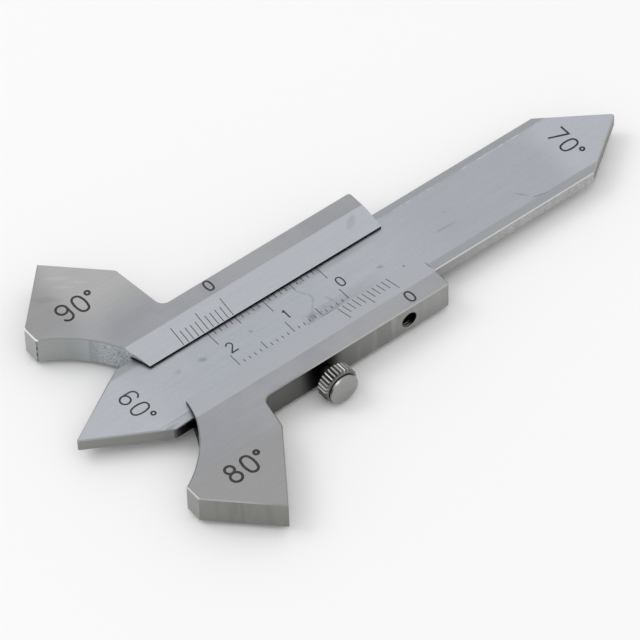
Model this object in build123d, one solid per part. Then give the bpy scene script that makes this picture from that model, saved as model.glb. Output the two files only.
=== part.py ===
from build123d import *
from math import atan2, cos, radians, sin, sqrt, tan
import os

# Weld gauge: a flat steel frame with two measuring legs, and a beam with a point at each end that
# slides in it between two lips. Millimetres. The frame lies on its back at z = 0, the beam runs
# along x with its 70 degree point towards +x, and the 90 degree leg is on the +y side. The origin
# is on the back, on the beam's centre line, about half way along the rails.

# The beam: a flat bar, pointed at both ends, with a shallow ledge along each side of its face.
beam_length = 100.4  # from point to point, before their noses are rounded
beam_width = 14.4
beam_thickness = 2.2
left_point_angle = 60.0
left_nose_radius = 0.25
right_point_angle = 70.0
right_nose_radius = 0.45
ledge_width = 1.4
ledge_depth = 0.05
beam_reach = 6.2  # how far the sharp 60 degree point would stand out past the feet
edge_break = 0.18  # along the outlines of beam and frame

# The beam's running fit in its channel, and the strip of brass beside it that takes up the wear.
slide_clearance = 0.05
gib_thickness = 1.0
gib_end_margin = 2.0

# The frame's section, from the back upwards and from the middle outwards.
back_wall = 1.0
lip_overlap = 3.0
lip_edge_thickness = 0.35
vernier_face_width = 4.3
vernier_face_drop = 1.15
rail_wall = 3.3

# The frame in plan. Distances along x are taken from the plane of the two feet.
foot_plane = -31.5
rail_end_distance = 52.8
foot_outer_distance = 20.5
bead_hollow_radius = 20.0
bead_hollow_depth = 10.7
fillet_edge_length = 12.7  # the edge that lies against the work, beside each foot
fillet_edge_slope = 45.0  # from the plane of the feet
leg_90_angle = 90.0
leg_90_side = 11.5
leg_90_root = 18.1
leg_80_angle = 80.0
leg_80_side = 14.8
leg_80_root = 18.6
leg_root_radius = 1.5
leg_shoulder_radius = 0.8
rail_corner_radius = 0.5

# Graduations: cut lines 1 mm apart on the beam, and ten divisions in 9 mm on each vernier.
line_width = 0.12
line_depth = 0.06
scale_range = 20
scale_long_step = 10  # millimetres from one long line to the next
scale_middle_step = 5
scale_zero_distance = 46.8  # from the beam's sharp 60 degree point
upper_line_tuck = 0.4  # how far the upper lines run in under the lip
upper_long_line = 3.1
upper_middle_line = 2.0
upper_short_line = 1.3
lower_line_gap = 0.65  # from the lower lip to the foot of the lower lines
lower_long_line = 2.35
lower_middle_line = 1.65
lower_short_line = 0.6
vernier_pitch = 0.9
vernier_divisions = 10
vernier_long_step = 5  # divisions from one long line to the next
vernier_line_margin = 0.1
vernier_long_line = 3.3
vernier_short_line = 2.2
upper_vernier_zero = 25.5  # from the plane of the feet

# The knurled lock screw, and the slotted screw that sets the strip.
screw_radius = 1.25
screw_clearance = 0.05
lock_screw_distance = 29.8  # from the plane of the feet
set_screw_margin = 7.5  # from the rails' end
screw_point_radius = 0.8
screw_point_depth = 0.3
screw_point_clearance = 0.03
head_gap = 1.65
head_radius = 2.88
knurl_length = 2.15
knurl_teeth = 28
knurl_depth = 0.3
knurl_chamfer = 0.4  # at its front, next to the groove
head_groove_width = 0.25
head_groove_radius = 2.15
head_cap_length = 0.45
head_cap_radius = 2.42
head_edge_break = 0.12
set_screw_length = 1.9
screw_slot_width = 0.4
screw_slot_depth = 0.6
screw_slot_turn = 35.0
hole_countersink = 0.1
cutter_overrun = 1.0  # how far a drill runs past the faces it cuts

# Heights and widths that follow from these.
channel_height = beam_thickness + 2 * slide_clearance
channel_top = back_wall + channel_height
lip_top = channel_top + lip_edge_thickness
frame_thickness = lip_top + vernier_face_drop
beam_bottom = back_wall + slide_clearance
beam_top = beam_bottom + beam_thickness
screw_height = (beam_bottom + beam_top) / 2
channel_far_side = beam_width / 2 + slide_clearance
gib_face = -channel_far_side
gib_back = gib_face - gib_thickness
channel_near_side = gib_back - slide_clearance
rail_half_width = rail_wall - channel_near_side
window_half_width = beam_width / 2 - lip_overlap
rail_end = foot_plane + rail_end_distance
set_screw_distance = rail_end_distance - set_screw_margin
lower_vernier_zero = scale_zero_distance  # it reads zero when the point is level with the feet
hollow_centre = foot_plane + bead_hollow_depth - bead_hollow_radius
foot_inner_distance = sqrt(bead_hollow_radius**2 - (foot_plane - hollow_centre) ** 2)
beam_left = foot_plane - beam_reach
beam_right = beam_left + beam_length


def leg_points(side, angle, side_length, root):
    """The leg's corners from its foot to its root on the rail, and the rail's end; side is +1 or -1."""
    slope = radians(fillet_edge_slope)
    turn = radians(90 + fillet_edge_slope - angle)
    corner_x = foot_plane + fillet_edge_length * sin(slope)
    corner_y = foot_outer_distance + fillet_edge_length * cos(slope)
    return [
        (foot_plane, side * foot_inner_distance),
        (foot_plane, side * foot_outer_distance),
        (corner_x, side * corner_y),
        (corner_x + side_length * cos(turn), side * (corner_y - side_length * sin(turn))),
        (foot_plane + root, side * rail_half_width),
        (rail_end, side * rail_half_width),
    ]


def frame_outline():
    """The frame seen from above: rails, two legs, and the round hollow that clears a weld bead."""
    upper = leg_points(1, leg_90_angle, leg_90_side, leg_90_root)
    lower = leg_points(-1, leg_80_angle, leg_80_side, leg_80_root)
    hollow_bottom = (foot_plane + bead_hollow_depth, 0)
    outline = make_face(
        [Polyline(*upper, *reversed(lower)), ThreePointArc(lower[0], hollow_bottom, upper[0])]
    )
    for index, radius in ((3, leg_shoulder_radius), (4, leg_root_radius), (5, rail_corner_radius)):
        for corner in (upper[index], lower[index]):
            vertex = outline.vertices().sort_by_distance((*corner, 0))[0]
            outline = fillet(vertex, radius)
    return outline


def break_edges(plate):
    """Chamfers the outline of a plate's top and bottom faces."""
    flats = plate.faces().sort_by(Axis.Z)
    return chamfer(flats[0].edges() + flats[-1].edges(), edge_break)


def channel_section():
    """The channel for beam and strip, open at the top between the two sloping vernier faces."""
    face_top = window_half_width + vernier_face_width
    above = frame_thickness + vernier_face_drop
    right_side = [
        (window_half_width, back_wall),
        (window_half_width, lip_top),
        (face_top, frame_thickness),
        (face_top, above),
    ]
    left_side = [(-y, z) for y, z in reversed(right_side)]
    window = make_face(Polyline(*right_side, *left_side, close=True))
    middle = Pos((channel_far_side + channel_near_side) / 2, back_wall + channel_height / 2)
    channel = middle * Rectangle(channel_far_side - channel_near_side, channel_height)
    return Plane.YZ * (window + channel)


def vernier_face(side):
    """The plane of a vernier face: local x along the rail, local y up the slope from the lip's edge."""
    slope = atan2(vernier_face_drop, vernier_face_width)
    return Plane(
        origin=(0, side * window_half_width, lip_top),
        x_dir=(side, 0, 0),
        z_dir=(0, -side * sin(slope), cos(slope)),
    )


def vernier_lines(side, zero_distance):
    """The cut lines of one vernier, from its zero towards the feet."""
    lines = Part()
    for division in range(vernier_divisions + 1):
        x = foot_plane + zero_distance - division * vernier_pitch
        length = vernier_short_line if division % vernier_long_step else vernier_long_line
        lines += Pos(side * x, vernier_line_margin + length / 2) * Box(line_width, length, 2 * line_depth)
    return vernier_face(side) * lines


def beam_lines(side, base, long_line, middle_line, short_line):
    """The cut lines of one scale on the beam, from its zero towards the 60 degree point."""
    lines = Part()
    for millimetre in range(scale_range + 1):
        length = short_line
        if millimetre % scale_middle_step == 0:
            length = middle_line
        if millimetre % scale_long_step == 0:
            length = long_line
        x = beam_left + scale_zero_distance - millimetre
        lines += Pos(x, base - side * length / 2, beam_top) * Box(line_width, length, 2 * line_depth)
    return lines


def screw_axis(distance):
    """A screw's own frame, with z along it out of the lower rail and z = 0 at the rail's side."""
    return Plane(
        origin=(foot_plane + distance, -rail_half_width, screw_height), x_dir=(1, 0, 0), z_dir=(0, -1, 0)
    )


def screw_hole(distance):
    """The tapped hole through the lower rail, with a small countersink at its mouth."""
    radius = screw_radius + screw_clearance
    mouth = radius + hole_countersink
    inner_end = -rail_wall - cutter_overrun
    section = make_face(
        Polyline((0, inner_end), (radius, inner_end), (radius, -hole_countersink), (mouth, 0),
                 (mouth, cutter_overrun), (0, cutter_overrun), close=True)
    )
    return screw_axis(distance) * revolve(Plane.XZ * section, Axis.Z)


def make_frame():
    """The frame, one piece of steel: legs, feet, rails, lips and the thin back under the beam."""
    frame = break_edges(extrude(frame_outline(), frame_thickness))
    frame -= extrude(channel_section(), rail_end_distance, both=True)
    frame -= vernier_lines(1, upper_vernier_zero)
    frame -= vernier_lines(-1, lower_vernier_zero)
    for distance in (lock_screw_distance, set_screw_distance):
        frame -= screw_hole(distance)
    return frame


def make_beam():
    """The sliding beam, with its two points, its side ledges and its two scales."""
    half_width = beam_width / 2
    left_shoulder = beam_left + half_width / tan(radians(left_point_angle / 2))
    right_shoulder = beam_right - half_width / tan(radians(right_point_angle / 2))
    outline = make_face(
        Polyline((beam_left, 0), (left_shoulder, half_width), (right_shoulder, half_width), (beam_right, 0),
                 (right_shoulder, -half_width), (left_shoulder, -half_width), close=True)
    )
    outline = fillet(outline.vertices().sort_by(Axis.X)[0], left_nose_radius)
    outline = fillet(outline.vertices().sort_by_distance((beam_right, 0, 0))[0], right_nose_radius)
    beam = Pos(0, 0, beam_bottom) * break_edges(extrude(outline, beam_thickness))
    for side in (1, -1):
        beam -= Pos((beam_left + beam_right) / 2, side * (half_width - ledge_width / 2), beam_top) * Box(
            beam_length, ledge_width, 2 * ledge_depth
        )
    upper_base = window_half_width + upper_line_tuck
    lower_base = -window_half_width + lower_line_gap
    beam -= beam_lines(1, upper_base, upper_long_line, upper_middle_line, upper_short_line)
    beam -= beam_lines(-1, lower_base, lower_long_line, lower_middle_line, lower_short_line)
    return beam


def make_gib_strip():
    """The brass strip between the beam and the lower rail, with a seat for each screw's point."""
    start = foot_plane + bead_hollow_depth + gib_end_margin
    end = rail_end - gib_end_margin
    strip = Pos((start + end) / 2, (gib_face + gib_back) / 2, screw_height) * Box(
        end - start, gib_thickness, channel_height - 2 * slide_clearance
    )
    seat = Cylinder(screw_point_radius + screw_clearance, 2 * screw_point_depth)
    for distance in (lock_screw_distance, set_screw_distance):
        strip -= Pos(foot_plane + distance, gib_back, screw_height) * Rot(90, 0, 0) * seat
    return strip


def shank_profile(end):
    """Half of a screw's shank, from its point in the strip to z = end; r and z, on the screw's axis."""
    bottom = gib_back + screw_point_depth - screw_point_clearance
    point_z = -rail_half_width - bottom
    shoulder_z = -rail_half_width - channel_near_side
    return [(0, point_z), (screw_point_radius, point_z), (screw_point_radius, shoulder_z),
            (screw_radius, shoulder_z), (screw_radius, end)]


def make_lock_screw():
    """The thumb screw: a straight-knurled head with a turned groove and a plain cap."""
    knurl_end = head_gap + knurl_length
    groove_end = knurl_end + head_groove_width
    head_end = groove_end + head_cap_length
    turned = make_face(
        Polyline(*shank_profile(head_gap), (head_radius - head_edge_break, head_gap),
                 (head_radius, head_gap + head_edge_break), (head_radius, knurl_end - knurl_chamfer),
                 (head_radius - knurl_chamfer, knurl_end), (head_groove_radius, knurl_end),
                 (head_groove_radius, groove_end), (head_cap_radius, groove_end),
                 (head_cap_radius, head_end - head_edge_break),
                 (head_cap_radius - head_edge_break, head_end), (0, head_end), close=True)
    )
    screw = revolve(Plane.XZ * turned, Axis.Z)
    half_opening = head_radius * sin(radians(180 / knurl_teeth))
    outside = head_radius + knurl_depth
    flute = make_face(
        Polyline((head_radius - knurl_depth, 0), (head_radius, half_opening), (outside, half_opening),
                 (outside, -half_opening), (head_radius, -half_opening), close=True)
    )
    cutter = Pos(0, 0, head_gap) * extrude(flute, knurl_length)
    screw -= [turn * cutter for turn in PolarLocations(0, knurl_teeth)]
    return screw_axis(lock_screw_distance) * screw


def make_set_screw():
    """The short slotted screw, sunk in its hole, that sets how hard the strip bears on the beam."""
    end = -rail_half_width - channel_near_side + set_screw_length
    screw = revolve(Plane.XZ * make_face(Polyline(*shank_profile(end), (0, end), close=True)), Axis.Z)
    slot = Pos(0, 0, end) * Box(2 * screw_radius, screw_slot_width, 2 * screw_slot_depth)
    return screw_axis(set_screw_distance) * (screw - Rot(0, 0, screw_slot_turn) * slot)


os.makedirs("parts", exist_ok=True)
pieces = {
    "frame": make_frame(),
    "beam": make_beam(),
    "gib_strip": make_gib_strip(),
    "lock_screw": make_lock_screw(),
    "set_screw": make_set_screw(),
}
for name, piece in pieces.items():
    piece.label = name
    export_step(piece, f"parts/{name}.step")
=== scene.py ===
from math import atan2, ceil, copysign, cos, pi, radians, sin, tan

import bmesh
import bpy
from mathutils import Matrix, Vector


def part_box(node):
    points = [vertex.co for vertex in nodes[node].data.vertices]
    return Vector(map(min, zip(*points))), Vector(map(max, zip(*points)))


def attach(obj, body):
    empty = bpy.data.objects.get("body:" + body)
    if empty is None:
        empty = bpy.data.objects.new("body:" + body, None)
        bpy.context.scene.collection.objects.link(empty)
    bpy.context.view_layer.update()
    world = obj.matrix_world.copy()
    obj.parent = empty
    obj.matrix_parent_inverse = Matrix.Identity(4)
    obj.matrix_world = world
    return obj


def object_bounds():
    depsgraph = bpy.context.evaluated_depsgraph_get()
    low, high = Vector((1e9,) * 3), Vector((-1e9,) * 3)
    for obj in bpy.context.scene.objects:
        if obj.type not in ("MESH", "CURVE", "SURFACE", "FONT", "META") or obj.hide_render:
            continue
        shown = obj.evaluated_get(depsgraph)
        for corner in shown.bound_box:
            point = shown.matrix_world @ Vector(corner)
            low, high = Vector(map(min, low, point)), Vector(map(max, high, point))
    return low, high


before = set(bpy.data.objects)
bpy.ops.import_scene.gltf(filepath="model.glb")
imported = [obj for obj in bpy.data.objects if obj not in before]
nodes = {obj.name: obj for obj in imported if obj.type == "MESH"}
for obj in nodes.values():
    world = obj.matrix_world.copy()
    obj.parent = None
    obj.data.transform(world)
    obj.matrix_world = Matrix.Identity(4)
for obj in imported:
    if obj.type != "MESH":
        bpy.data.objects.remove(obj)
cad_low, cad_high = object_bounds()

# Camera. The photograph was taken with a long lens from well above the near side of the gauge, so
# its parallel edges stay nearly parallel. The camera turns about a point on the beam's face.
MM = 0.001  # metres
CAMERA_TARGET = Vector((3.38, -3.94, 3.0)) * MM
CAMERA_DISTANCE = 821.7 * MM
CAMERA_AZIMUTH = radians(-37.16)
CAMERA_ELEVATION = radians(48.60)
CAMERA_ROLL = radians(-1.842)
SENSOR_WIDTH = 36.0
FOCAL_LENGTH = 320.38
CLIP_START, CLIP_END = 10 * MM, 20.0

camera = bpy.data.objects.new("camera", bpy.data.cameras.new("camera"))
bpy.context.scene.collection.objects.link(camera)
bpy.context.scene.camera = camera
camera.data.sensor_width = SENSOR_WIDTH
camera.data.lens = FOCAL_LENGTH
camera.data.clip_start = CLIP_START
camera.data.clip_end = CLIP_END
turned = Matrix.Rotation(CAMERA_AZIMUTH, 4, "Z") @ Matrix.Rotation(pi / 2 - CAMERA_ELEVATION, 4, "X")
turned = turned @ Matrix.Rotation(CAMERA_ROLL, 4, "Z")
turned = turned @ Matrix.Translation((0, 0, CAMERA_DISTANCE))
camera.matrix_world = Matrix.Translation(CAMERA_TARGET) @ turned
bpy.context.scene.view_settings.view_transform = "Standard"


# Floor and light. The gauge lies on white paper in a bright room. A large soft lamp stands behind
# it and to the left, so the walls that face the camera are in shade and the flat faces are even.
FLOOR_SIZE = 6.0  # metres, like the lamp's distance and size
LAMP_AZIMUTH = radians(128)
LAMP_ELEVATION = radians(50)
LAMP_DISTANCE = 1.8
LAMP_SIZE = 1.0
LAMP_POWER = 5.2  # watts
ROOM_LOW, ROOM_HIGH = 0.77, 0.99  # brightness of the room's walls and of its ceiling


def linear(code):
    """An sRGB hex colour as linear red, green, blue and alpha, by the sRGB standard's own formula."""
    channels = [int(code[i:i + 2], 16) / 255 for i in (1, 3, 5)]
    return (*[c / 12.92 if c <= 0.04045 else ((c + 0.055) / 1.055) ** 2.4 for c in channels], 1.0)


def add(tree, kind, links=None, **settings):
    """Adds one node with its settings; links holds a value or another node's output for each socket."""
    made = tree.nodes.new(kind)
    for name, value in settings.items():
        setattr(made, name, value)
    for socket, value in (links or {}).items():
        if isinstance(value, bpy.types.NodeSocket):
            tree.links.new(value, made.inputs[socket])
        else:
            made.inputs[socket].default_value = value
    return made


def new_material(name):
    """An empty material with its node tree, and the Principled shader that ends it."""
    material = bpy.data.materials.new(name)
    material.use_nodes = True
    tree = material.node_tree
    tree.nodes.clear()
    shader = add(tree, "ShaderNodeBsdfPrincipled")
    add(tree, "ShaderNodeOutputMaterial", {"Surface": shader.outputs["BSDF"]})
    return material, tree, shader


# Paper without a coating scatters light evenly: a bright ground, soft shadows and no gloss.
paper, tree, shader = new_material("uncoated white paper")
shader.inputs["Base Color"].default_value = linear("#F6F6F6")
shader.inputs["Roughness"].default_value = 0.9
shader.inputs["Specular IOR Level"].default_value = 0.1
bm = bmesh.new()
bmesh.ops.create_grid(bm, x_segments=1, y_segments=1, size=FLOOR_SIZE / 2)
bmesh.ops.translate(bm, verts=bm.verts, vec=(0, 0, cad_low.z))
floor_mesh = bpy.data.meshes.new("floor")
bm.to_mesh(floor_mesh)
bm.free()
floor_mesh.materials.append(paper)
floor = bpy.data.objects.new("floor", floor_mesh)
bpy.context.scene.collection.objects.link(floor)

lamp = bpy.data.objects.new("soft_lamp", bpy.data.lights.new("soft_lamp", "AREA"))
bpy.context.scene.collection.objects.link(lamp)
lamp.data.shape = "DISK"
lamp.data.size = LAMP_SIZE
lamp.data.energy = LAMP_POWER
lamp_way = Vector((cos(LAMP_AZIMUTH) * cos(LAMP_ELEVATION), sin(LAMP_AZIMUTH) * cos(LAMP_ELEVATION),
                   sin(LAMP_ELEVATION)))
lamp.location = lamp_way * LAMP_DISTANCE
lamp.rotation_euler = lamp_way.to_track_quat("Z", "Y").to_euler()

world = bpy.data.worlds.new("bright_room")
bpy.context.scene.world = world
world.use_nodes = True
where = add(world.node_tree, "ShaderNodeTexCoord")
height = add(world.node_tree, "ShaderNodeSeparateXYZ", {"Vector": where.outputs["Generated"]})
strength = add(world.node_tree, "ShaderNodeMapRange", {
    "Value": height.outputs["Z"], "To Min": ROOM_LOW, "To Max": ROOM_HIGH})
background = world.node_tree.nodes["Background"]
background.inputs["Color"].default_value = linear("#FFFFFF")
world.node_tree.links.new(strength.outputs["Result"], background.inputs["Strength"])


# Frame. One piece of martensitic stainless steel: the flat faces are fine ground, the two sloping
# vernier faces are satin chromed and a little lighter and bluer, and the walls are milled and dull.
GRAIN_WIDTH = 0.35 * MM  # real grinding lines are a tenth of this; drawn coarse enough to show
GRAIN_LENGTH = 9 * MM
CLOUD_SIZE = 9 * MM  # soft patches left by the hand
MOTTLE_SIZE = 1.6 * MM  # smudges
SPECK_SIZE = 0.28 * MM  # pits and dust, which are really finer; drawn coarse enough to show
STREAK_WIDTH, STREAK_LENGTH = 1.3 * MM, 12 * MM  # upright marks of the milling cutter, coarse as well
THREAD_PITCH = 0.45  # millimetres
FINE_LOW, FINE_HIGH = 0.6, 1.4  # the values between which grain and specks together mostly lie
DARKER, LIGHTER = 0.93, 1.06  # what they make of the colour
ROUGHNESS_SWING = 0.06
GROUND_DEPTH = 0.01 * MM
GROUND_STRENGTH = 0.25
MARK_RIM, MARK_CORE = 1.6, 0.9  # a mark fades between these shares of its half size, mottle included
MARK_DEPTH = 1e6  # in z a mark has no end


def ground_steel(name, layers, marks=()):
    """Fine ground steel, which the eye reads as an even satin grey with faint lines along the grinding,
    soft cloudy patches and fine specks, and on the walls upright streaks. Each layer is a colour, a
    roughness and where it lies: pairs of bounds, in millimetres or as a share, between which it comes in
    over the layers before it. A name with _ after it gives the same signal a second pair. Each mark is a
    smudge or scratch: its place, length, width and angle, its colour and how strong it is."""
    material, tree, shader = new_material(name)
    where = add(tree, "ShaderNodeTexCoord")
    along = add(tree, "ShaderNodeMapping", {
        "Vector": where.outputs["Object"], "Scale": (1 / GRAIN_LENGTH, 1 / GRAIN_WIDTH, 1 / GRAIN_WIDTH)})
    grain = add(tree, "ShaderNodeTexNoise", {
        "Vector": along.outputs["Vector"], "Scale": 1.0, "Detail": 3.0, "Roughness": 0.6})
    clouds, mottle, specks = [add(tree, "ShaderNodeTexNoise", {
        "Vector": where.outputs["Object"], "Scale": 1 / size, "Detail": detail})
        for size, detail in ((CLOUD_SIZE, 4.0), (MOTTLE_SIZE, 4.0), (SPECK_SIZE, 2.0))]
    upwards = add(tree, "ShaderNodeMapping", {
        "Vector": where.outputs["Object"], "Scale": (1 / STREAK_WIDTH, 1 / STREAK_WIDTH, 1 / STREAK_LENGTH)})
    streaks = add(tree, "ShaderNodeTexNoise", {
        "Vector": upwards.outputs["Vector"], "Scale": 1.0, "Detail": 2.0})
    place = add(tree, "ShaderNodeVectorMath", {0: where.outputs["Object"], "Scale": 1 / MM},
                operation="SCALE")
    at = add(tree, "ShaderNodeSeparateXYZ", {"Vector": place.outputs["Vector"]})
    turns = add(tree, "ShaderNodeMath", {0: at.outputs["Y"], 1: THREAD_PITCH / 2}, operation="PINGPONG")
    facing = add(tree, "ShaderNodeSeparateXYZ", {"Vector": where.outputs["Normal"]})
    off_centre = add(tree, "ShaderNodeMath", {0: at.outputs["Y"]}, operation="ABSOLUTE")
    signals = {
        "x": at.outputs["X"], "y": at.outputs["Y"], "z": at.outputs["Z"],
        "off_centre": off_centre.outputs["Value"], "facing_x": facing.outputs["X"],
        "facing_y": facing.outputs["Y"], "facing_up": facing.outputs["Z"], "cloud": clouds.outputs["Fac"],
        "mottle": mottle.outputs["Fac"], "speck": specks.outputs["Fac"], "streak": streaks.outputs["Fac"],
        "thread": turns.outputs["Value"]}
    (first_colour, rough, _), *layers = layers
    colour = linear(first_colour)
    for layer_colour, layer_rough, bounds in layers:
        cover = 1.0
        for signal, (start, full) in bounds.items():
            step = add(tree, "ShaderNodeMapRange", {
                "Value": signals[signal.rstrip("_")], "From Min": start, "From Max": full},
                interpolation_type="SMOOTHSTEP")
            cover = add(tree, "ShaderNodeMath", {0: step.outputs["Result"], 1: cover},
                        operation="MULTIPLY").outputs["Value"]
        colour = add(tree, "ShaderNodeMix", {"Factor": cover, "A": colour, "B": linear(layer_colour)},
                     data_type="RGBA").outputs[2]
        rough = add(tree, "ShaderNodeMix", {"Factor": cover, "A": rough, "B": layer_rough},
                    data_type="FLOAT").outputs[0]
    for x, y, length, width, angle, mark_colour, strength in marks:
        local = add(tree, "ShaderNodeMapping", {
            "Vector": place.outputs["Vector"], "Location": (x, y, 0), "Rotation": (0, 0, radians(angle)),
            "Scale": (length / 2, width / 2, MARK_DEPTH)}, vector_type="TEXTURE")
        reach = add(tree, "ShaderNodeVectorMath", {0: local.outputs["Vector"]}, operation="LENGTH")
        ragged = add(tree, "ShaderNodeMath", {0: reach.outputs["Value"], 1: mottle.outputs["Fac"]},
                     operation="ADD")
        cover = add(tree, "ShaderNodeMapRange", {
            "Value": ragged.outputs["Value"], "From Min": MARK_RIM, "From Max": MARK_CORE,
            "To Max": strength}, interpolation_type="SMOOTHSTEP")
        colour = add(tree, "ShaderNodeMix", {
            "Factor": cover.outputs["Result"], "A": colour, "B": linear(mark_colour)},
            data_type="RGBA").outputs[2]
    fine = add(tree, "ShaderNodeMath", {0: grain.outputs["Fac"], 1: specks.outputs["Fac"]}, operation="ADD")
    shade = add(tree, "ShaderNodeMapRange", {
        "Value": fine.outputs["Value"], "From Min": FINE_LOW, "From Max": FINE_HIGH,
        "To Min": DARKER, "To Max": LIGHTER})
    tinted = add(tree, "ShaderNodeMix", {"Factor": 1.0, "A": colour, "B": shade.outputs["Result"]},
                 data_type="RGBA", blend_type="MULTIPLY")
    uneven = add(tree, "ShaderNodeMapRange", {
        "Value": fine.outputs["Value"], "From Min": FINE_LOW, "From Max": FINE_HIGH,
        "To Min": -ROUGHNESS_SWING, "To Max": ROUGHNESS_SWING})
    rough = add(tree, "ShaderNodeMath", {0: rough, 1: uneven.outputs["Result"]}, operation="ADD")
    bump = add(tree, "ShaderNodeBump", {
        "Height": fine.outputs["Value"], "Strength": GROUND_STRENGTH, "Distance": GROUND_DEPTH})
    tree.links.new(tinted.outputs[2], shader.inputs["Base Color"])
    tree.links.new(rough.outputs["Value"], shader.inputs["Roughness"])
    tree.links.new(bump.outputs["Normal"], shader.inputs["Normal"])
    shader.inputs["Metallic"].default_value = 1.0
    return material


upright = {"facing_up": (0.55, 0.5)}  # walls
broken = {"facing_up": (0.92, 0.88)}  # broken edges, and the walls with them
foot_edge = {**broken, "x": (-31.1, -31.3)}
foot = {**upright, "facing_x": (-0.9, -0.97)}
fillet_edge = {**upright, "facing_y": (-0.5, -0.6), "y": (-20, -20.4)}
hollow = {**upright, "y": (4, 6), "x": (-10, -14)}
rail_side = {**upright, "facing_y": (-0.8, -0.9), "y": (-11, -11.4)}
tapped_hole = {"off_centre": (11.58, 11.45), "off_centre_": (8.2, 8.4), "x": (12, 12.4),
               "x_": (15.6, 15.2), "z": (3.6, 3.5)}

frame_steel = ground_steel("fine ground stainless steel, frame", (
    # the rails' flat faces, slightly blue, and the legs', which are a plainer grey
    ("#9D9FA4", 0.40, {}),
    ("#A6A8AC", 0.40, {"cloud": (0.35, 0.68)}),
    ("#9E9E9E", 0.40, {"off_centre": (13, 20)}),
    # the outer half of the 90 degree leg, lighter
    ("#B4B4B4", 0.38, {"y": (12, 20), "x": (-27, -21.5)}),
    # the two vernier faces
    ("#B7BAC0", 0.38, {"facing_up": (0.99, 0.98)}),
    # broken edges, and brighter ones on the lower rail and the feet, painted there as highlights
    ("#979898", 0.42, broken),
    ("#B9B8B5", 0.36, {**broken, "y": (-11.3, -11.5), "x": (-8, -2), "z": (4.4, 4.6)}),
    ("#D0D0D0", 0.32, foot_edge),
    ("#F4F4F4", 0.30, {**foot_edge, "y": (0, 5)}),
    ("#AEAEAC", 0.36, {**broken, "y": (-20.3, -20.7), "facing_x": (0, -0.2), "x": (-23.5, -26.5)}),
    # walls, streaked by the cutter
    ("#A3A4A1", 0.46, upright),
    ("#979896", 0.50, {**upright, "streak": (0.36, 0.76)}),
    # the hollow's wall, faintly streaked and speckled, and bluer towards the beam
    ("#A5A8A7", 0.50, {**hollow, "y_": (17.8, 17.6)}),
    ("#B4BAC0", 0.50, {**hollow, "y_": (15, 12)}),
    ("#A1A6A7", 0.50, {**hollow, "y_": (17.8, 17.6), "streak": (0.46, 0.8)}),
    ("#C9CDD0", 0.50, {**hollow, "y_": (13.5, 10), "speck": (0.52, 0.66)}),
    ("#8D9498", 0.50, {**hollow, "y_": (13.5, 11), "speck": (0.44, 0.36)}),
    # the rails' rounded corners
    ("#5C5C5A", 0.50, {**upright, "x": (20.85, 20.95), "facing_x": (0.3, 0.5)}),
    # the 90 degree foot and the 80 degree foot
    ("#AFAFAF", 0.46, {**foot, "y": (17.7, 17.8)}),
    ("#9E9E9D", 0.46, {**foot, "y": (-17.7, -17.8)}),
    # a dotted line of old oil where the hollow meets the 90 degree foot
    ("#4A4B49", 0.50, {**upright, "y": (17.6, 17.66), "y_": (17.86, 17.8), "speck": (0.46, 0.5)}),
    # the edge beside the 80 degree foot, streaked from top to bottom
    ("#8F8F8C", 0.46, fillet_edge),
    ("#868683", 0.46, {**fillet_edge, "streak": (0.44, 0.7)}),
    # the lower rail's side, with painted shade darkening it between the leg and the knob, and a painted
    # shadow making it black beside the knob
    ("#8B8C89", 0.46, {**rail_side, "x": (16, 8)}),
    ("#6A6A68", 0.46, {**rail_side, "facing_y": (-0.55, -0.7), "facing_x": (-0.5, -0.3), "x": (7, -1.5)}),
    ("#A3A4A1", 0.46, {**rail_side, "x": (1, 9), "streak": (0.48, 0.74)}),
    ("#141413", 0.50, {**rail_side, "x": (1.5, -1.5), "x_": (-6.5, -3.6)}),
    # painted shade, near black: the lips' thin edges and ends under their overhang, and the hollow's wall in
    # the gap where the beam comes out
    ("#17181B", 0.50, {**upright, "off_centre": (4.35, 4.25), "z": (3.0, 3.2)}),
    ("#17181B", 0.50, {**upright, "off_centre": (7.7, 7.3), "x": (-15, -17), "z": (3.0, 3.2),
                       "z_": (3.8, 3.6)}),
    ("#17181B", 0.50, {**upright, "y": (-12, -9.5), "y_": (-1, -2), "x": (-15, -17)}),
    # the set screw's tapped hole, painted black inside as shade, with a painted highlight on the first turns
    # of its thread
    ("#1B1B1A", 0.50, tapped_hole),
    ("#F0F0EC", 0.60, {**tapped_hole, "y": (-10.4, -10.9), "x_": (14.6, 13.6)}),
    ("#1B1B1A", 0.50, {**tapped_hole, "thread": (0.09, 0.15)}),
), (
    # light scratches and a dull patch on the 90 degree leg, and a smudge near the upper rail's end
    (-21.8, 25.3, 5.0, 0.9, -38, "#C6C6C6", 0.3), (-20.0, 22.9, 3.2, 0.7, -42, "#C6C6C6", 0.35),
    (-22.2, 23.4, 4.0, 0.7, -40, "#C4C4C4", 0.3), (-25.9, 23.2, 5.0, 1.6, -40, "#8E8E8E", 0.3),
    (17.9, 7.0, 3.4, 1.3, 35, "#9DA0A5", 0.45)))
nodes["frame"].material_slots[0].material = frame_steel


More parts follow.
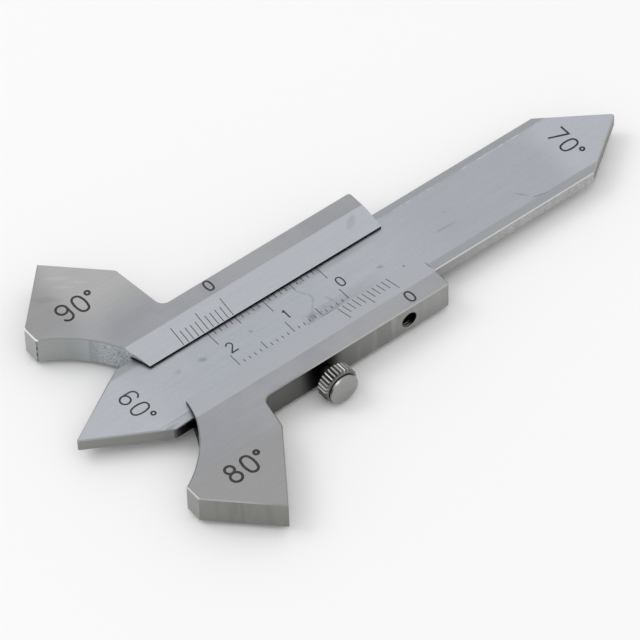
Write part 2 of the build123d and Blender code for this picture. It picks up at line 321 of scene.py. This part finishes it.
# Graduations. The lines are cut less than a tenth of a millimetre deep, and black enamel is wiped
# into them. Each line's enamel is a thin bar in its cut: the two verniers' on the frame here, and
# the two scales' on the beam in its own section.
LINE_WIDTH = 0.12 * MM
LINE_DEPTH = 0.06 * MM
ENAMEL_THICKNESS = 0.045 * MM
ENAMEL_WIDTH, ENAMEL_LENGTH = 0.98, 0.995  # shares of the cut's own, so that no two faces coincide
WINDOW_HALF_WIDTH = 4.2 * MM
LIP_TOP = 3.65 * MM
VERNIER_FACE_WIDTH = 4.3 * MM
VERNIER_PITCH = 0.9 * MM
VERNIER_DIVISIONS = 10
VERNIER_MARGIN = 0.1 * MM
LONG_LINE_STEP = 5  # every fifth line is longer
VERNIER_LONG_LINE = 3.3 * MM
VERNIER_SHORT_LINE = 2.2 * MM
UPPER_VERNIER_ZERO = 25.5 * MM  # from the plane of the feet
LOWER_VERNIER_ZERO = 46.8 * MM
ENAMEL_PATCH = 1.3 * MM
WEAR_START, WEAR_FULL = 0.42, 0.66

frame_low, frame_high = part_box("frame")
vernier_slope = atan2(frame_high.z - LIP_TOP, VERNIER_FACE_WIDTH)


def enamel(name, colour, worn_colour):
    """Black enamel wiped into cuts, which looks matt and deep, and greyer in patches where it is thin."""
    material, tree, shader = new_material(name)
    where = add(tree, "ShaderNodeTexCoord")
    patches = add(tree, "ShaderNodeTexNoise", {
        "Vector": where.outputs["Object"], "Scale": 1 / ENAMEL_PATCH, "Detail": 3.0})
    worn = add(tree, "ShaderNodeMapRange", {
        "Value": patches.outputs["Fac"], "From Min": WEAR_START, "From Max": WEAR_FULL})
    shown = add(tree, "ShaderNodeMix", {
        "Factor": worn.outputs["Result"], "A": linear(colour), "B": linear(worn_colour)}, data_type="RGBA")
    tree.links.new(shown.outputs[2], shader.inputs["Base Color"])
    shader.inputs["Roughness"].default_value = 0.55
    return material


def cut_line(bm, face, x, start, length):
    """The enamel in one cut line: start and length run along the face's own y."""
    size = Matrix.Diagonal((LINE_WIDTH * ENAMEL_WIDTH, length * ENAMEL_LENGTH, ENAMEL_THICKNESS, 1))
    middle = Matrix.Translation((x, start + length / 2, ENAMEL_THICKNESS / 2 - LINE_DEPTH))
    bmesh.ops.create_cube(bm, size=1.0, matrix=face @ middle @ size)


def finished_piece(name, bm, material, body):
    """Turns a bmesh into a piece that rides on a body."""
    mesh = bpy.data.meshes.new(name)
    bm.to_mesh(mesh)
    bm.free()
    mesh.materials.append(material)
    piece = bpy.data.objects.new(name, mesh)
    bpy.context.scene.collection.objects.link(piece)
    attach(piece, body)


def vernier(name, side, zero_distance, material):
    """The ten divisions of one vernier, from its zero towards the feet; side is +1 or -1."""
    face = Matrix.Translation((0, side * WINDOW_HALF_WIDTH, LIP_TOP))
    face = face @ Matrix.Rotation(side * vernier_slope, 4, "X") @ Matrix.Diagonal((1, side, 1, 1))
    bm = bmesh.new()
    for division in range(VERNIER_DIVISIONS + 1):
        x = frame_low.x + zero_distance - division * VERNIER_PITCH
        length = VERNIER_SHORT_LINE if division % LONG_LINE_STEP else VERNIER_LONG_LINE
        cut_line(bm, face, x, VERNIER_MARGIN, length)
    bmesh.ops.recalc_face_normals(bm, faces=bm.faces)
    finished_piece(name, bm, material, "frame")


line_enamel = enamel("wiped black enamel, vernier lines", "#15161A", "#30333A")
vernier("upper_vernier_enamel", 1, UPPER_VERNIER_ZERO, line_enamel)
vernier("lower_vernier_enamel", -1, LOWER_VERNIER_ZERO, line_enamel)


# Figures. Angles in degrees on the legs and the two points, and plain numbers at the scales, cut
# with a single round-ended stroke and filled black. Each stroke is a thin ribbon with round ends.
# The sizes of a figure's parts are shares of its height, and their angles are degrees.
FIGURE_THICKNESS = 0.015 * MM
STROKE_STEP = 0.2  # how much higher each further stroke of a figure is, as a share of the thickness
STEP_ANGLE = radians(12)
MERGE_DISTANCE = 1e-4
FULL_TURN = 360
NOUGHT_WIDTH = 0.285  # half of it
SIDE_BOW = 34  # through which a nought's long sides curve
FLAG, FLAG_HEADING = 0.2, -135  # the short stroke of a one
HOOK = 0.26  # radius of the round top of a two
HOOK_START = 160  # where on its circle it starts
HOOK_END = 130  # between the baseline and the run from the hook down to the foot
BAR = 0.6  # the level stroke of a two or seven
LEG, LEG_HEADING = 1.08, -113  # the slanting stroke of a seven
BOWL = 0.274  # radius of the bowl of a six or nine
TAIL_SWEEP = 150  # through which the tail of a six or nine curves
UPPER_LOOP, LOWER_LOOP = 0.224, 0.276  # radii of the two loops of an eight
RING = 0.112  # radius of the degree sign
FIGURE_ADVANCE = 0.895
RING_ADVANCE, RING_RISE = 0.64, 0.335

half_bow = radians(SIDE_BOW / 2)
end_radius = (NOUGHT_WIDTH - tan(half_bow / 2) / 2) / (1 - tan(half_bow / 2))
side_radius = end_radius + (0.5 - end_radius) / sin(half_bow)
nought_start = (NOUGHT_WIDTH - side_radius * (1 - cos(half_bow)), -side_radius * sin(half_bow))
nine = [((BOWL, 0.5 - BOWL), 90, [(BOWL, FULL_TURN)]),
        ((BOWL, 0.5 - BOWL), -90, [(1 - 2 * BOWL, 0), (BOWL, -TAIL_SWEEP)])]
hook_start = (HOOK * cos(radians(HOOK_START)), 0.5 - HOOK + HOOK * sin(radians(HOOK_START)))
hook_heading = HOOK_START - 90
hook_run = (1 - HOOK - HOOK * sin(radians(HOOK_END - 90))) / sin(radians(HOOK_END))
hook_foot = HOOK * cos(radians(HOOK_END - 90)) + hook_run * cos(radians(HOOK_END))

# Each stroke is a start, a heading and its runs, about the middle of the figure.
figures = {
    "0": [(nought_start, 90 - SIDE_BOW / 2, [(side_radius, SIDE_BOW), (end_radius, 180 - SIDE_BOW)] * 2)],
    "1": [((0, 0.5), -90, [(1, 0)]), ((0, 0.5), FLAG_HEADING, [(FLAG, 0)])],
    "2": [(hook_start, hook_heading, [(HOOK, -hook_heading - HOOK_END), (hook_run, 0)]),
          ((hook_foot, -0.5), 0, [(BAR, 0)])],
    "6": [((-x, -y), heading + 180, runs) for (x, y), heading, runs in nine],
    "7": [((-BAR / 2, 0.5), 0, [(BAR, 0)]), ((BAR / 2, 0.5), LEG_HEADING, [(LEG, 0)])],
    "8": [((UPPER_LOOP, 0.5 - UPPER_LOOP), 90, [(UPPER_LOOP, FULL_TURN)]),
          ((LOWER_LOOP, LOWER_LOOP - 0.5), 90, [(LOWER_LOOP, FULL_TURN)])],
    "9": nine,
    "ring": [((RING, 0), 90, [(RING, FULL_TURN)])],
}


def pen_stroke(bm, place, pen, top, start, heading, runs):
    """Runs a round pen along straight runs (length, 0) and arcs (radius, angle to the left). The ribbon
    is as high as top; crossing strokes need different heights, or their faces would coincide."""
    place = place @ Matrix.Translation((*start, 0)) @ Matrix.Rotation(radians(heading), 4, "Z")
    up = place.to_3x3() @ Vector((0, 0, 1))
    half = pen / 2
    across = [(half, 0), (0, 0), (-half, 0), (-half, top), (0, top), (half, top)]
    tip = [bm.verts.new(place @ Vector((0, y, z))) for y, z in across]
    edges = [bm.edges.new((tip[i - 1], tip[i])) for i in range(len(tip))]
    closed = sum(turn for _, turn in runs) == FULL_TURN
    if not closed:  # the round start: the right half of the tip, turned about the tip's middle
        bmesh.ops.spin(bm, geom=tip[1:5] + edges[2:5], cent=place.translation, axis=up, angle=-pi,
                       steps=ceil(pi / STEP_ANGLE))
    geometry = tip + edges
    for size, turn in runs:
        if turn:
            centre = Vector((0, copysign(size, turn), 0))
            angle = radians(turn)
            swept = bmesh.ops.spin(bm, geom=geometry, cent=place @ centre, axis=up, angle=angle,
                                   steps=ceil(abs(angle) / STEP_ANGLE))
            place = place @ Matrix.Translation(centre) @ Matrix.Rotation(angle, 4, "Z")
            place = place @ Matrix.Translation(-centre)
        else:
            ahead = Vector((size, 0, 0))
            swept = bmesh.ops.spin(bm, geom=geometry, cent=place.translation, axis=up, angle=0, steps=1,
                                   dvec=place.to_3x3() @ ahead)
            place = place @ Matrix.Translation(ahead)
        geometry = swept["geom_last"]
    if not closed:  # the round end, in the same way
        tip = [bm.verts.new(place @ Vector((0, y, z))) for y, z in across[1:5]]
        edges = [bm.edges.new((tip[i], tip[i + 1])) for i in range(len(tip) - 1)]
        bmesh.ops.spin(bm, geom=tip + edges, cent=place.translation, axis=up, angle=pi,
                       steps=ceil(pi / STEP_ANGLE))


def label(name, text, middle, height, pen, material, body, turn=0.0):
    """A number at the middle of its first figure; an angle gets the degree sign after its figures."""
    is_angle = len(text) > 1
    bm = bmesh.new()
    face = Matrix.Translation(middle) @ Matrix.Rotation(radians(turn), 4, "Z")
    face = face @ Matrix.Diagonal((height, height, FIGURE_THICKNESS, 1))
    signs = [(sign, index * FIGURE_ADVANCE, 0) for index, sign in enumerate(text)]
    if is_angle:
        signs.append(("ring", (len(text) - 1) * FIGURE_ADVANCE + RING_ADVANCE, RING_RISE))
    for sign, x, y in signs:
        for index, stroke in enumerate(figures[sign]):
            pen_stroke(bm, Matrix.Translation((x, y, 0)), pen / height, 1 + index * STROKE_STEP, *stroke)
    bmesh.ops.remove_doubles(bm, verts=bm.verts, dist=MERGE_DISTANCE)
    bmesh.ops.transform(bm, matrix=face, verts=bm.verts)
    bmesh.ops.recalc_face_normals(bm, faces=bm.faces)
    finished_piece(name, bm, material, body)


leg_enamel = enamel("filled black enamel, leg figures", "#1B1C1E", "#2C2E30")
for name, text, x, y, height, pen in (  # place, height and pen width in millimetres
        ("figure_90", "90", -25.15, 19.32, 3.18, 0.37), ("figure_80", "80", -24.92, -19.98, 3.2, 0.42),
        ("upper_vernier_figure", "0", -5.89, 10.27, 1.96, 0.29),
        ("lower_vernier_figure", "0", 15.26, -9.92, 2.0, 0.28)):
    label(name, text, (x * MM, y * MM, frame_high.z), height * MM, pen * MM, leg_enamel, "frame")


# Gib strip. A thin strip of rolled brass that lies loose in the channel, between the beam and the
# two screws. They press on it to take up play and to clamp the beam. Only its ends show.
TARNISH_SIZE = 0.6 * MM

# Rolled brass gives a warm satin yellow, which tarnish dulls in small patches.
brass, tree, shader = new_material("rolled brass strip")
where = add(tree, "ShaderNodeTexCoord")
tarnish = add(tree, "ShaderNodeTexNoise", {
    "Vector": where.outputs["Object"], "Scale": 1 / TARNISH_SIZE, "Detail": 3.0})
tone = add(tree, "ShaderNodeMix", {
    "Factor": tarnish.outputs["Fac"], "A": linear("#A88F5A"), "B": linear("#C9AE74")}, data_type="RGBA")
tree.links.new(tone.outputs[2], shader.inputs["Base Color"])
shader.inputs["Metallic"].default_value = 1.0
shader.inputs["Roughness"].default_value = 0.42
nodes["gib_strip"].material_slots[0].material = brass


# Set screw. A short slotted screw of turned steel, sunk in its tapped hole in the lower rail. It is
# turned only when the slide is adjusted, and old oil has darkened it.
STAIN_SIZE = 0.8 * MM

# Dull turned steel gives a dark grey with small stains, and enough gloss to show the slot.
dull_steel, tree, shader = new_material("turned steel, dull")
where = add(tree, "ShaderNodeTexCoord")
stains = add(tree, "ShaderNodeTexNoise", {
    "Vector": where.outputs["Object"], "Scale": 1 / STAIN_SIZE, "Detail": 3.0})
tone = add(tree, "ShaderNodeMix", {
    "Factor": stains.outputs["Fac"], "A": linear("#444442"), "B": linear("#6E6E6B")}, data_type="RGBA")
tree.links.new(tone.outputs[2], shader.inputs["Base Color"])
shader.inputs["Metallic"].default_value = 1.0
shader.inputs["Roughness"].default_value = 0.4
nodes["set_screw"].material_slots[0].material = dull_steel


# Beam. A flat bar of hardened stainless steel, satin finished lengthways and slightly bluer than the
# frame, with a low, duller strip along each side. It slides in the channel. Its two scales are cut in
# millimetres and numbered in centimetres.
SCALE_ZERO_DISTANCE = 46.8 * MM  # from where the 60 degree point would be if it were sharp
POINT_ROUNDING = 0.25 * MM  # how much its rounding shortens it
UPPER_LINE_BASE = 4.6 * MM
LOWER_LINE_BASE = -3.55 * MM
UPPER_LINES = (3.1 * MM, 2.0 * MM, 1.3 * MM)  # lengths of a numbered line, a fifth line and the rest
LOWER_LINES = (2.35 * MM, 1.65 * MM, 0.6 * MM)
SCALE_RANGE = 20
NUMBERED_STEP = 10

beam_low, beam_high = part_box("beam")
beam_steel = ground_steel("satin stainless steel, beam", (
    # the flat face: the 60 degree point and the 70 degree point are a little lighter, and it is
    # duller from handling between the frame and the 70 degree point
    ("#AFB3BA", 0.38, {}),
    ("#B4B8BE", 0.38, {"cloud": (0.35, 0.68)}),
    ("#B9BCC2", 0.38, {"x": (-22, -28)}),
    ("#B8BBC2", 0.38, {"x": (46, 52)}),
    ("#ADB0B6", 0.38, {"x": (18, 30), "x_": (52, 46)}),
    # darker beside the far lip, partly painted shade under the lip's overhang and partly smeared dirt, and
    # dirt among the lower scale's last lines
    ("#A6A9AF", 0.40, {"y": (2.6, 3.4), "x": (-13, -9), "x_": (22, 14)}),
    ("#8E9298", 0.40, {"y": (2.8, 3.6), "x": (-8, -3), "x_": (15, 10), "mottle": (0.48, 0.7)}),
    ("#A9ACB2", 0.40, {"y": (-1.4, -2.8), "x": (0.4, 3.0), "x_": (18, 10)}),
    ("#868A90", 0.40, {"y": (-1.6, -3.0), "x": (0.4, 3.4), "x_": (8, 3.5), "mottle": (0.42, 0.72)}),
    # strips beside its scales, where the finish stops short, and a painted highlight along the far one's
    # step
    ("#A1A4A8", 0.42, {"y": (5.4, 6.2)}),
    ("#A1A4A8", 0.42, {"y": (-5.4, -6.2), "x": (-26, -19)}),
    ("#C3C6CA", 0.38, {"y": (5.58, 5.74), "y_": (5.98, 5.84), "x": (14, 24), "mottle": (0.4, 0.66)}),
    # broken edges: painted highlights beyond the frame and on the near ones facing the 70 degree point, and
    # duller at the two points
    ("#D5D5D4", 0.34, {**broken, "x": (10, 20)}),
    ("#A2A4A7", 0.40, {**broken, "x": (-18, -24)}),
    ("#B4B6B4", 0.40, {**broken, "y": (0, -0.2), "facing_x": (0.1, 0.2)}),
    # walls: streaked and speckled; painted shade makes the near side darker towards the frame, they are
    # darker at both points, and a black painted shadow lies where the beam leaves the frame
    ("#C0C0C0", 0.44, upright),
    ("#B4B4B4", 0.46, {**upright, "streak": (0.36, 0.76)}),
    ("#A2A2A1", 0.46, {**upright, "y": (0, -1), "speck": (0.5, 0.66)}),
    ("#A6A6A6", 0.46, {**upright, "y": (0, -7), "x": (40, 22)}),
    ("#8B8D89", 0.46, {**upright, "facing_y": (0, -0.3), "facing_x": (0.35, 0.5), "x": (50, 51)}),
    ("#90918E", 0.44, {**upright, "x": (-20, -26)}),
    ("#1A1A1A", 0.50, {**upright, "off_centre": (6.9, 7.1), "x": (-27, -24), "x_": (-16, -20)}),
    # the low step down to the strips, painted bright so that the shade in its corner does not show
    ("#F0F2F4", 0.40, {**upright, "off_centre": (6.5, 6.2), "z": (3.12, 3.18)}),
), (
    # smudges towards the 60 degree point, then a curling scratch and a stain between the scales
    (-14.4, 0.66, 1.9, 1.0, -25, "#707276", 0.4), (-18.6, 1.1, 1.4, 0.9, 0, "#77797C", 0.22),
    (4.5, 1.6, 2.4, 0.4, -58, "#74767A", 0.24), (5.1, 0.4, 1.5, 0.5, -86, "#74767A", 0.28),
    (4.8, -0.5, 1.3, 0.5, 52, "#74767A", 0.28), (3.6, -1.9, 2.6, 0.5, 48, "#74767A", 0.24),
    (6.9, -1.9, 0.5, 2.4, 15, "#74767A", 0.3), (6.6, -3.6, 6.5, 0.7, 8, "#74767A", 0.28),
    # spots and scratches towards the 70 degree point, and two spots back the other way
    (16.35, -1.65, 1.3, 0.7, -20, "#66686C", 0.38), (19.15, -3.7, 0.45, 0.45, 0, "#4A4D52", 0.7),
    (22.0, -5.8, 0.22, 2.3, 4, "#55585D", 0.6), (43.2, -5.5, 3.0, 0.3, -12, "#6E7278", 0.5),
    (41.4, -3.8, 2.6, 0.3, -56, "#7A7D82", 0.45),
    (30.4, 0.76, 0.5, 0.5, 0, "#85888D", 0.45), (28.7, -1.7, 5.0, 0.6, -5, "#8A8D92", 0.4),
    (-25.8, -6.5, 3.2, 0.8, 0, "#85888D", 0.5), (-5.8, 0.54, 0.7, 0.6, 0, "#85888D", 0.5)))
nodes["beam"].material_slots[0].material = beam_steel


def beam_scale(name, side, base, lengths, material):
    """One scale of 20 mm, from its zero towards the 60 degree point. Its lines share the end at base,
    which is their far end where side is +1 and their near end where it is -1."""
    numbered, fifth, short = lengths
    bm = bmesh.new()
    face = Matrix.Translation((0, 0, beam_high.z))
    for millimetre in range(SCALE_RANGE + 1):
        x = beam_low.x - POINT_ROUNDING + SCALE_ZERO_DISTANCE - millimetre * MM
        length = short
        if millimetre % LONG_LINE_STEP == 0:
            length = fifth
        if millimetre % NUMBERED_STEP == 0:
            length = numbered
        cut_line(bm, face, x, base - length if side > 0 else base, length)
    bmesh.ops.recalc_face_normals(bm, faces=bm.faces)
    finished_piece(name, bm, material, "beam")


beam_enamel = enamel("wiped black enamel, beam", "#14161A", "#34373D")
beam_scale("upper_scale_enamel", 1, UPPER_LINE_BASE, UPPER_LINES, beam_enamel)
beam_scale("lower_scale_enamel", -1, LOWER_LINE_BASE, LOWER_LINES, beam_enamel)
for name, text, x, y, height, pen, turn in (
        ("figure_60", "60", -27.0, 1.67, 2.92, 0.275, -90), ("figure_70", "70", 53.2, 2.0, 2.9, 0.315, -90),
        ("scale_figure_0", "0", 10.18, -0.16, 1.8, 0.215, 0),
        ("scale_figure_1", "1", 0.25, -0.1, 1.6, 0.23, 0),
        ("scale_figure_2", "2", -9.87, -0.06, 1.85, 0.215, 0)):
    label(name, text, (x * MM, y * MM, beam_high.z), height * MM, pen * MM, beam_enamel, "beam",
          turn)


# Lock screw. A thumb screw turned from one piece of steel, with a straight knurl, a groove and a
# plain cap. It screws into the lower rail and clamps the beam through the gib strip. Its sizes here
# are in millimetres.
SCREW_X, SCREW_Z = -1.7, 2.15  # its axis, which runs along y
KNURL_BOTTOM, KNURL_TOP = 2.70, 2.87  # radii of the teeth
KNURL_BACK, KNURL_FULL, KNURL_FRONT = -13.25, -15.0, -15.37  # places along y
CAP_BACK, CAP_FRONT = -15.64, -16.1
HIGHLIGHT_SIDE = (-0.4, 0, 0.917)  # the way from its axis, up and to the left, where the teeth get a painted highlight
HIGHLIGHT_START, HIGHLIGHT_FULL = 0.68, 0.98
RINGS_PER_MM = 9.0  # real turning marks are finer; drawn coarse enough to show
PATCHES_PER_MM = 1.4
UNEVEN_LOW, UNEVEN_HIGH = 0.7, 1.3  # the values between which rings and patches together mostly lie
RING_DARKER, RING_LIGHTER = 0.9, 1.05

# Turned steel gives a mid grey with faint rings about its axis. On the knurl, dark dirt and painted shade
# lie between the teeth, and the teeth towards the upper left get a painted highlight.
knurled_steel, tree, shader = new_material("turned and knurled steel")
where = add(tree, "ShaderNodeTexCoord")
place = add(tree, "ShaderNodeVectorMath", {0: where.outputs["Object"], "Scale": 1 / MM},
            operation="SCALE")
from_axis = add(tree, "ShaderNodeVectorMath", {0: place.outputs["Vector"], 1: (SCREW_X, 0, SCREW_Z)},
                operation="SUBTRACT")
from_axis = add(tree, "ShaderNodeVectorMath", {0: from_axis.outputs["Vector"], 1: (1, 0, 1)},
                operation="MULTIPLY")
radius = add(tree, "ShaderNodeVectorMath", {0: from_axis.outputs["Vector"]}, operation="LENGTH")
at = add(tree, "ShaderNodeSeparateXYZ", {"Vector": place.outputs["Vector"]})
rings = add(tree, "ShaderNodeTexNoise", {
    "W": radius.outputs["Value"], "Scale": RINGS_PER_MM, "Detail": 2.0}, noise_dimensions="1D")
patches = add(tree, "ShaderNodeTexNoise", {
    "Vector": place.outputs["Vector"], "Scale": PATCHES_PER_MM, "Detail": 3.0})
uneven = add(tree, "ShaderNodeMath", {0: rings.outputs["Fac"], 1: patches.outputs["Fac"]},
             operation="ADD")
shade = add(tree, "ShaderNodeMapRange", {
    "Value": uneven.outputs["Value"], "From Min": UNEVEN_LOW, "From Max": UNEVEN_HIGH,
    "To Min": RING_DARKER, "To Max": RING_LIGHTER})
from_cap = add(tree, "ShaderNodeMapRange", {
    "Value": at.outputs["Y"], "From Min": CAP_FRONT, "From Max": KNURL_BACK})
zones = add(tree, "ShaderNodeValToRGB", {"Fac": from_cap.outputs["Result"]})
zones.color_ramp.interpolation = "CONSTANT"
zones.color_ramp.elements[0].color = linear("#A2A2A0")  # the cap
zones.color_ramp.elements.remove(zones.color_ramp.elements[1])
# then the groove, darker with painted shade, the knurl's chamfer and the knurl
for y, zone_colour in ((CAP_BACK, "#6A6A68"), (KNURL_FRONT, "#727270"), (KNURL_FULL, "#989896")):
    zones.color_ramp.elements.new((y - CAP_FRONT) / (KNURL_BACK - CAP_FRONT)).color = linear(zone_colour)
in_knurl = add(tree, "ShaderNodeMath", {0: at.outputs["Y"], 1: KNURL_FULL}, operation="GREATER_THAN")
outwards = add(tree, "ShaderNodeVectorMath", {0: from_axis.outputs["Vector"]}, operation="NORMALIZE")
towards_highlight = add(tree, "ShaderNodeVectorMath", {0: outwards.outputs["Vector"], 1: HIGHLIGHT_SIDE},
                  operation="DOT_PRODUCT")
# painted highlight: teeth facing up and to the left are brightened
painted_highlight = add(tree, "ShaderNodeMapRange", {
    "Value": towards_highlight.outputs["Value"], "From Min": HIGHLIGHT_START, "From Max": HIGHLIGHT_FULL})
painted_highlight = add(tree, "ShaderNodeMath", {0: painted_highlight.outputs["Result"], 1: in_knurl.outputs["Value"]},
             operation="MULTIPLY")
brightened = add(tree, "ShaderNodeMix", {
    "Factor": painted_highlight.outputs["Value"], "A": zones.outputs["Color"], "B": linear("#D6D6D4")},
    data_type="RGBA")
shaded = add(tree, "ShaderNodeMix", {
    "Factor": 1.0, "A": brightened.outputs[2], "B": shade.outputs["Result"]},
    data_type="RGBA", blend_type="MULTIPLY")
# dirt and painted shade darken the valleys between the teeth
in_valley = add(tree, "ShaderNodeMapRange", {
    "Value": radius.outputs["Value"], "From Min": KNURL_TOP, "From Max": KNURL_BOTTOM})
grime_and_shade = add(tree, "ShaderNodeMath", {0: in_knurl.outputs["Value"], 1: in_valley.outputs["Result"]},
            operation="MULTIPLY")
shown = add(tree, "ShaderNodeMix", {
    "Factor": grime_and_shade.outputs["Value"], "A": shaded.outputs[2], "B": linear("#464644")}, data_type="RGBA")
tree.links.new(shown.outputs[2], shader.inputs["Base Color"])
shader.inputs["Metallic"].default_value = 1.0
shader.inputs["Roughness"].default_value = 0.34
nodes["lock_screw"].material_slots[0].material = knurled_steel
